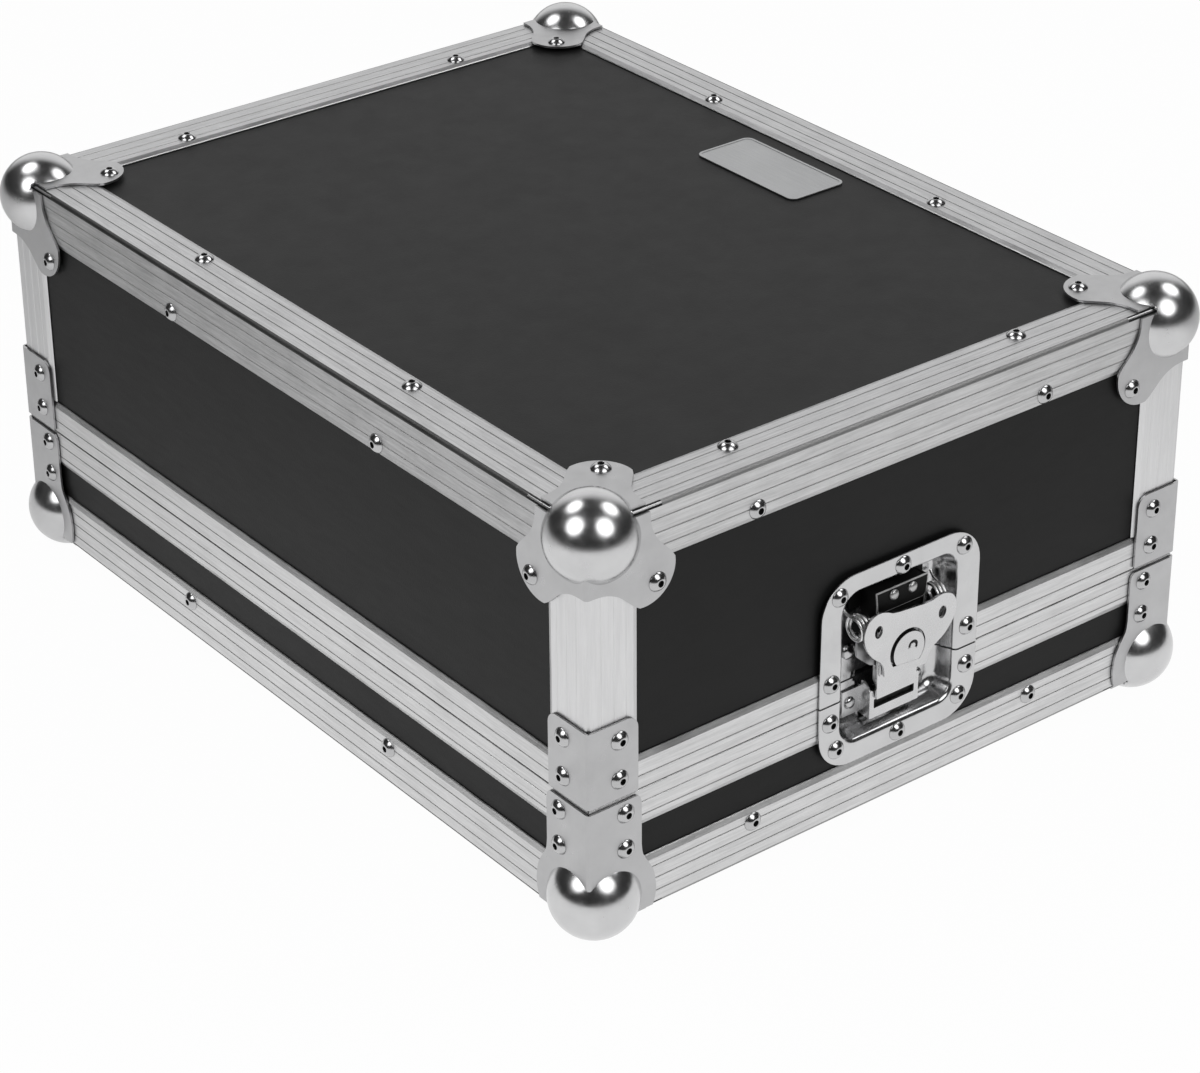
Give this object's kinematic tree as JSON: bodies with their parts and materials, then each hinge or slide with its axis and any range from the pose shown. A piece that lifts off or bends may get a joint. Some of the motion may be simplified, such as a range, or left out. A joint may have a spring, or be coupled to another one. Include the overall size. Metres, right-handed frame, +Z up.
{
  "type": "media player flight case",
  "caption": "Low flight case with a lift-off lid, aluminium edges, ball corners, recessed twist latches, a folding handle and a foam-lined tray.",
  "frame": {"origin": "on the ground under the middle of the case", "axes": "+X along the short sides, to the right seen from the front; +Y along the long sides, away from the front; +Z up"},
  "size_m": [0.409, 0.5364, 0.241],
  "materials": {
    "laminate": "black textured laminate on plywood",
    "aluminium": "satin anodised extrusion",
    "plated_steel": "bright zinc plated pressed steel",
    "spring_steel": "bright drawn wire",
    "black_steel": "gloss black steel",
    "foam": null,
    "rubber": "matt black rubber sleeve",
    "plate": "plain satin plate"
  },
  "bodies": {
    "base": {"base_floor_panel": "laminate", "base_front_panel": "laminate", "base_rear_panel": "laminate", "base_left_panel": "laminate", "base_right_panel": "laminate", "base_bottom_edge_front": "aluminium", "base_bottom_edge_rear": "aluminium", "base_bottom_edge_left": "aluminium", "base_bottom_edge_right": "aluminium", "base_closing_bar_left": "aluminium", "base_closing_bar_right": "aluminium", "base_ball_corner_front_left": "plated_steel", "base_ball_corner_front_right": "plated_steel", "base_ball_corner_rear_right": "plated_steel", "base_ball_corner_rear_left": "plated_steel", "base_foam_bed": "foam", "front_dish_lower": "plated_steel", "rear_dish_lower": "plated_steel"},
    "lid": {"lid_top_panel": "laminate", "lid_front_panel": "laminate", "lid_rear_panel": "laminate", "lid_left_panel": "laminate", "lid_right_panel": "laminate", "lid_top_edge_front": "aluminium", "lid_top_edge_rear": "aluminium", "lid_top_edge_left": "aluminium", "lid_top_edge_right": "aluminium", "lid_closing_bar_left": "aluminium", "lid_closing_bar_right": "aluminium", "lid_corner_post_front_left": "aluminium", "lid_corner_post_front_right": "aluminium", "lid_corner_post_rear_right": "aluminium", "lid_corner_post_rear_left": "aluminium", "lid_corner_brace_front_left": "plated_steel", "lid_corner_brace_front_right": "plated_steel", "lid_corner_brace_rear_right": "plated_steel", "lid_corner_brace_rear_left": "plated_steel", "lid_ball_corner_front_left": "plated_steel", "lid_ball_corner_front_right": "plated_steel", "lid_ball_corner_rear_right": "plated_steel", "lid_ball_corner_rear_left": "plated_steel", "lid_foam_lining": "foam", "name_plate": "plate", "front_dish_upper": "plated_steel", "rear_dish_upper": "plated_steel", "front_latch_mount": "black_steel", "rear_latch_mount": "black_steel", "front_latch_spring": "spring_steel", "rear_latch_spring": "spring_steel", "handle_dish": "plated_steel"},
    "front_carrier": {"front_latch_carrier": "plated_steel"},
    "front_hook": {"front_latch_hook": "plated_steel"},
    "front_rotor": {"front_latch_rotor": "plated_steel"},
    "front_wing": {"front_latch_wing": "plated_steel"},
    "rear_carrier": {"rear_latch_carrier": "plated_steel"},
    "rear_hook": {"rear_latch_hook": "plated_steel"},
    "rear_rotor": {"rear_latch_rotor": "plated_steel"},
    "rear_wing": {"rear_latch_wing": "plated_steel"},
    "handle": {"handle_bail": "plated_steel", "handle_grip": "rubber"}
  },
  "joints": [
    {"name": "lid_lift", "type": "slide", "parent": "base", "child": "lid", "axis": [0, 0, 1], "range_m": [0, 0.25]},
    {"name": "front_plate_swing", "type": "hinge", "parent": "lid", "child": "front_carrier", "pos_m": [0, -0.2552, 0.1165], "axis": [-1, 0, 0], "range_deg": [0, 15]},
    {"name": "front_wing_turn", "type": "hinge", "parent": "front_carrier", "child": "front_rotor", "pos_m": [0, -0.2592, 0.0985], "axis": [0, -1, 0], "range_deg": [0, 180]},
    {"name": "front_hook_slide", "type": "slide", "parent": "front_carrier", "child": "front_hook", "axis": [0, 0, -1], "range_m": [0, 0.005]},
    {"name": "front_wing_fold", "type": "hinge", "parent": "front_rotor", "child": "front_wing", "pos_m": [-0.0009, -0.2613, 0.08914], "axis": [0.9954, 0, -0.0958], "range_deg": [0, 90]},
    {"name": "rear_plate_swing", "type": "hinge", "parent": "lid", "child": "rear_carrier", "pos_m": [0, 0.2552, 0.1165], "axis": [1, 0, 0], "range_deg": [0, 15]},
    {"name": "rear_wing_turn", "type": "hinge", "parent": "rear_carrier", "child": "rear_rotor", "pos_m": [0, 0.2592, 0.0985], "axis": [0, 1, 0], "range_deg": [0, 180]},
    {"name": "rear_hook_slide", "type": "slide", "parent": "rear_carrier", "child": "rear_hook", "axis": [0, 0, -1], "range_m": [0, 0.005]},
    {"name": "rear_wing_fold", "type": "hinge", "parent": "rear_rotor", "child": "rear_wing", "pos_m": [0.0009, 0.2613, 0.08914], "axis": [-0.9954, 0, -0.0958], "range_deg": [0, 90]},
    {"name": "handle_swing", "type": "hinge", "parent": "lid", "child": "handle", "pos_m": [0.189, 0, 0.1725], "axis": [0, -1, 0], "range_deg": [0, 90]}
  ],
  "couplings": [
    {"joint": "front_hook_slide", "follows": "front_wing_turn", "m_per_rad": 0.0015915},
    {"joint": "rear_hook_slide", "follows": "rear_wing_turn", "m_per_rad": 0.0015915}
  ]
}
